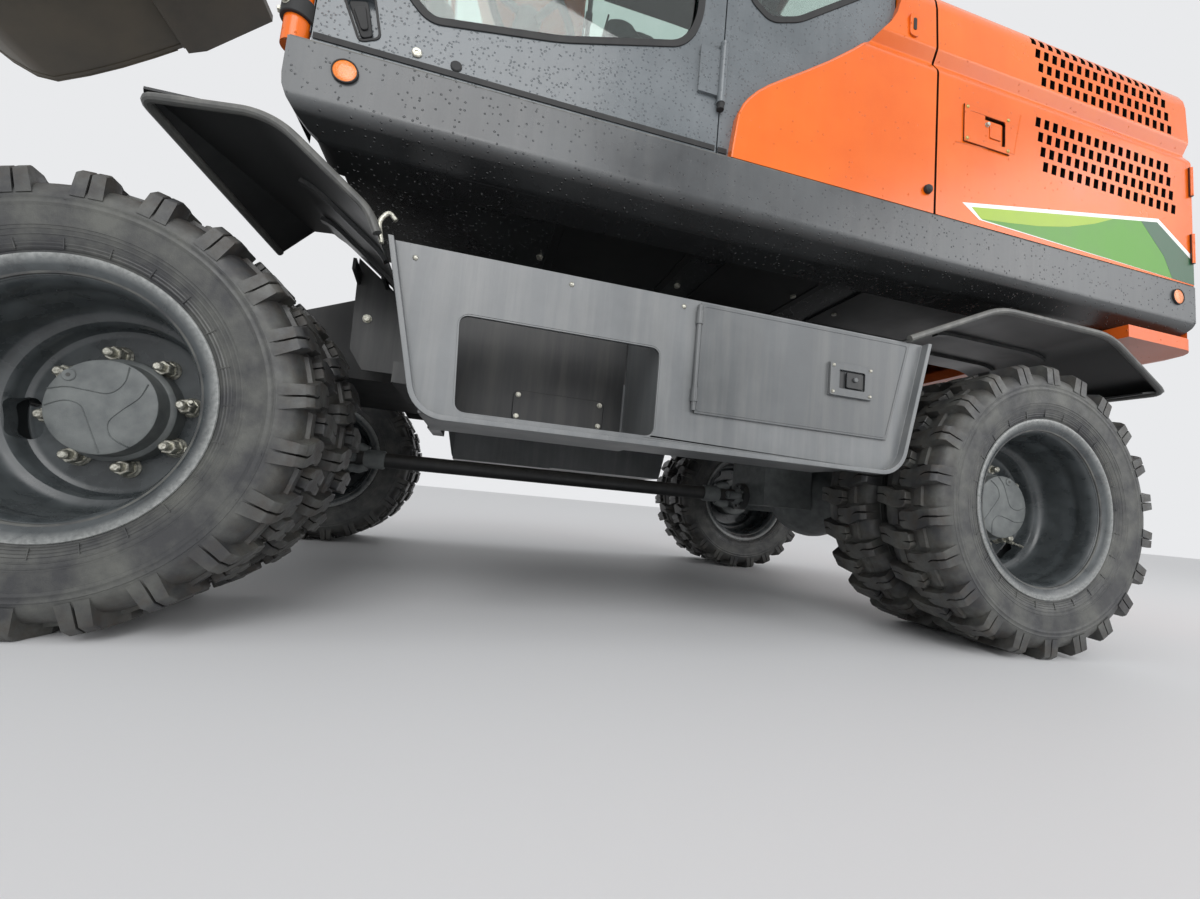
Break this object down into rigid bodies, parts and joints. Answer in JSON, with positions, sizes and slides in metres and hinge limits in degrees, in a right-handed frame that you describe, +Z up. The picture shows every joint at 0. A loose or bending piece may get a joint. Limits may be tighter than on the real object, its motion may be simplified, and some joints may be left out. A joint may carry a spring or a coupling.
{
  "type": "wheeled excavator",
  "caption": "Wheeled backhoe excavator with twin tyres, slewing cab and hood, side step boxes, boom, arm and curled bucket.",
  "frame": {"origin": "on the ground, at the middle of the overall length and width; the slewing axis is 530 mm behind it", "axes": "+X forward along the machine, +Y to its left, +Z up"},
  "size_m": [5.6145, 2.396, 5.6143],
  "materials": {
    "steel_dark": "satin black chassis paint",
    "steel_grey": "grey structural paint, worn",
    "orange": "gloss orange enamel",
    "cab_grey": "dark slate grey enamel",
    "rim": "dark grey rim paint, worn flange",
    "tyre": "black tread rubber",
    "glass": "tinted safety glass",
    "rod": "hard chrome",
    "cast": "painted casting",
    "seat": "woven black seat cover",
    "plastic": "black moulded plastic",
    "lamp": "amber and clear lenses",
    "bucket": "dark brown-black paint"
  },
  "bodies": {
    "chassis": {"chassis": "steel_dark", "towing_lugs": "steel_dark", "slew_ring": "cast", "front_axle": "cast", "rear_axle": "cast", "drive_shaft": "steel_dark", "fenders": "steel_dark", "step_boxes": "steel_grey"},
    "step_door_left": {"step_door_left": "steel_grey"},
    "step_door_right": {"step_door_right": "steel_grey"},
    "steering_rod": {"steering_rod": "rod"},
    "knuckle_left": {"knuckle_left": "cast"},
    "knuckle_right": {"knuckle_right": "cast"},
    "wheels_front_left": {"tyres_front_left": "tyre", "rims_front_left": "rim"},
    "wheels_front_right": {"tyres_front_right": "tyre", "rims_front_right": "rim"},
    "wheels_rear_left": {"tyres_rear_left": "tyre", "rims_rear_left": "rim"},
    "wheels_rear_right": {"tyres_rear_right": "tyre", "rims_rear_right": "rim"},
    "upper": {"upper_frame": "steel_dark", "counterweight": "orange", "engine": "cast", "body_panels": "orange", "fuel_tank": "steel_dark", "exhaust": "steel_dark", "cab_shell": "cab_grey", "cab_glass": "glass", "seat": "seat", "cab_controls": "plastic", "rails": "orange", "lamps": "lamp"},
    "cab_door": {"cab_door": "cab_grey", "door_glass": "glass"},
    "side_door_left": {"side_door_left": "orange"},
    "side_door_right": {"side_door_right": "orange"},
    "hood_lid": {"hood_lid": "orange"},
    "boom": {"boom": "orange"},
    "boom_barrels": {"boom_barrels": "steel_dark"},
    "boom_rods": {"boom_rods": "rod"},
    "arm": {"arm": "orange"},
    "arm_barrel": {"arm_barrel": "steel_dark"},
    "arm_rod": {"arm_rod": "rod"},
    "bucket_barrel": {"bucket_barrel": "steel_dark"},
    "bucket_rod": {"bucket_rod": "rod"},
    "rockers": {"rockers": "steel_dark"},
    "bucket_link": {"bucket_link": "steel_dark"},
    "bucket": {"bucket": "bucket"}
  },
  "joints": [
    {"name": "slew", "type": "hinge", "parent": "chassis", "child": "upper", "pos_m": [-0.53, 0, 1.2], "axis": [0, 0, 1], "continuous": true},
    {"name": "steer_left", "type": "hinge", "parent": "chassis", "child": "knuckle_left", "pos_m": [0.8, 0.76, 0.4802], "axis": [0, 0, 1], "range_deg": [-30, 30]},
    {"name": "steer_right", "type": "hinge", "parent": "chassis", "child": "knuckle_right", "pos_m": [0.8, -0.76, 0.4802], "axis": [0, 0, 1], "range_deg": [-30, 30]},
    {"name": "steering_slide", "type": "slide", "parent": "chassis", "child": "steering_rod", "axis": [0, 1, 0], "range_m": [-0.06, 0.06]},
    {"name": "spin_front_left", "type": "hinge", "parent": "knuckle_left", "child": "wheels_front_left", "pos_m": [0.8, 0.94, 0.4802], "axis": [0, 1, 0], "continuous": true},
    {"name": "spin_front_right", "type": "hinge", "parent": "knuckle_right", "child": "wheels_front_right", "pos_m": [0.8, -0.94, 0.4802], "axis": [0, 1, 0], "continuous": true},
    {"name": "spin_rear_left", "type": "hinge", "parent": "chassis", "child": "wheels_rear_left", "pos_m": [-1.86, 0.94, 0.4802], "axis": [0, 1, 0], "continuous": true},
    {"name": "spin_rear_right", "type": "hinge", "parent": "chassis", "child": "wheels_rear_right", "pos_m": [-1.86, -0.94, 0.4802], "axis": [0, 1, 0], "continuous": true},
    {"name": "step_door_left_hinge", "type": "hinge", "parent": "chassis", "child": "step_door_left", "pos_m": [-0.596, 1.1616, 0.79], "axis": [0, 0, 1], "range_deg": [-110, 0]},
    {"name": "step_door_right_hinge", "type": "hinge", "parent": "chassis", "child": "step_door_right", "pos_m": [-0.596, -1.1616, 0.79], "axis": [0, 0, -1], "range_deg": [-110, 0]},
    {"name": "cab_door_hinge", "type": "hinge", "parent": "upper", "child": "cab_door", "pos_m": [-0.625, 1.132, 2], "axis": [0, 0, 1], "range_deg": [0, 110]},
    {"name": "side_door_left_hinge", "type": "hinge", "parent": "upper", "child": "side_door_left", "pos_m": [-2.652, 1.154, 1.8], "axis": [0, 0, 1], "range_deg": [0, 100]},
    {"name": "side_door_right_hinge", "type": "hinge", "parent": "upper", "child": "side_door_right", "pos_m": [-2.652, -1.154, 1.8], "axis": [0, 0, -1], "range_deg": [0, 100]},
    {"name": "hood_hinge", "type": "hinge", "parent": "upper", "child": "hood_lid", "pos_m": [-1.407, 0, 2.3203], "axis": [0, 1, 0], "range_deg": [0, 60]},
    {"name": "boom_pivot", "type": "hinge", "parent": "upper", "child": "boom", "pos_m": [-0.23, 0, 1.66], "axis": [0, 1, 0], "range_deg": [-2, 95]},
    {"name": "boom_barrel_pivot", "type": "hinge", "parent": "upper", "child": "boom_barrels", "pos_m": [0.27, 0, 1.31], "axis": [0, -1, 0], "range_deg": [-107.52, 2.75]},
    {"name": "boom_rod_slide", "type": "slide", "parent": "boom_barrels", "child": "boom_rods", "axis": [0.0641, 0, 0.9979], "range_m": [-0.8399, 0.0196]},
    {"name": "arm_pivot", "type": "hinge", "parent": "boom", "child": "arm", "pos_m": [2.08046, 0, 5.047], "axis": [0, -1, 0], "range_deg": [0, 115]},
    {"name": "arm_barrel_pivot", "type": "hinge", "parent": "boom", "child": "arm_barrel", "pos_m": [-0.27684, 0, 3.77403], "axis": [0, -1, 0], "range_deg": [-5.26, 0.5]},
    {"name": "arm_rod_slide", "type": "slide", "parent": "arm_barrel", "child": "arm_rod", "axis": [0.8096, 0, 0.587], "range_m": [-0.818, 0.002]},
    {"name": "bucket_pivot", "type": "hinge", "parent": "arm", "child": "bucket", "pos_m": [2.47756, 0, 2.98489], "axis": [0, -1, 0], "range_deg": [0, 160]},
    {"name": "rocker_pivot", "type": "hinge", "parent": "arm", "child": "rockers", "pos_m": [2.4057, 0, 3.35803], "axis": [0, -1, 0], "range_deg": [-0.5, 107.82]},
    {"name": "link_pivot", "type": "hinge", "parent": "rockers", "child": "bucket_link", "pos_m": [2.73859, 0, 3.04057], "axis": [0, -1, 0], "range_deg": [-81.86, 0.5]},
    {"name": "bucket_barrel_pivot", "type": "hinge", "parent": "arm", "child": "bucket_barrel", "pos_m": [2.5307, 0, 4.93003], "axis": [0, -1, 0], "range_deg": [-2.88, 0.5]},
    {"name": "bucket_rod_slide", "type": "slide", "parent": "bucket_barrel", "child": "bucket_rod", "axis": [0.1094, 0, -0.994], "range_m": [-0.7405, 0.002]}
  ],
  "couplings": [
    {"joint": "steer_right", "follows": "steer_left", "ratio": 1},
    {"joint": "steering_slide", "follows": "steer_left", "m_per_rad": 0.105},
    {"joint": "boom_barrel_pivot", "follows": "boom_pivot", "ratio": -1.1265},
    {"joint": "boom_rod_slide", "follows": "boom_pivot", "m_per_rad": -0.50534},
    {"joint": "arm_barrel_pivot", "follows": "arm_pivot", "ratio": -0.041356},
    {"joint": "arm_rod_slide", "follows": "arm_pivot", "m_per_rad": -0.40655},
    {"joint": "rocker_pivot", "follows": "bucket_pivot", "ratio": 0.67075},
    {"joint": "link_pivot", "follows": "bucket_pivot", "ratio": -0.50853},
    {"joint": "bucket_barrel_pivot", "follows": "bucket_pivot", "ratio": -0.014896},
    {"joint": "bucket_rod_slide", "follows": "bucket_pivot", "m_per_rad": -0.26445}
  ]
}
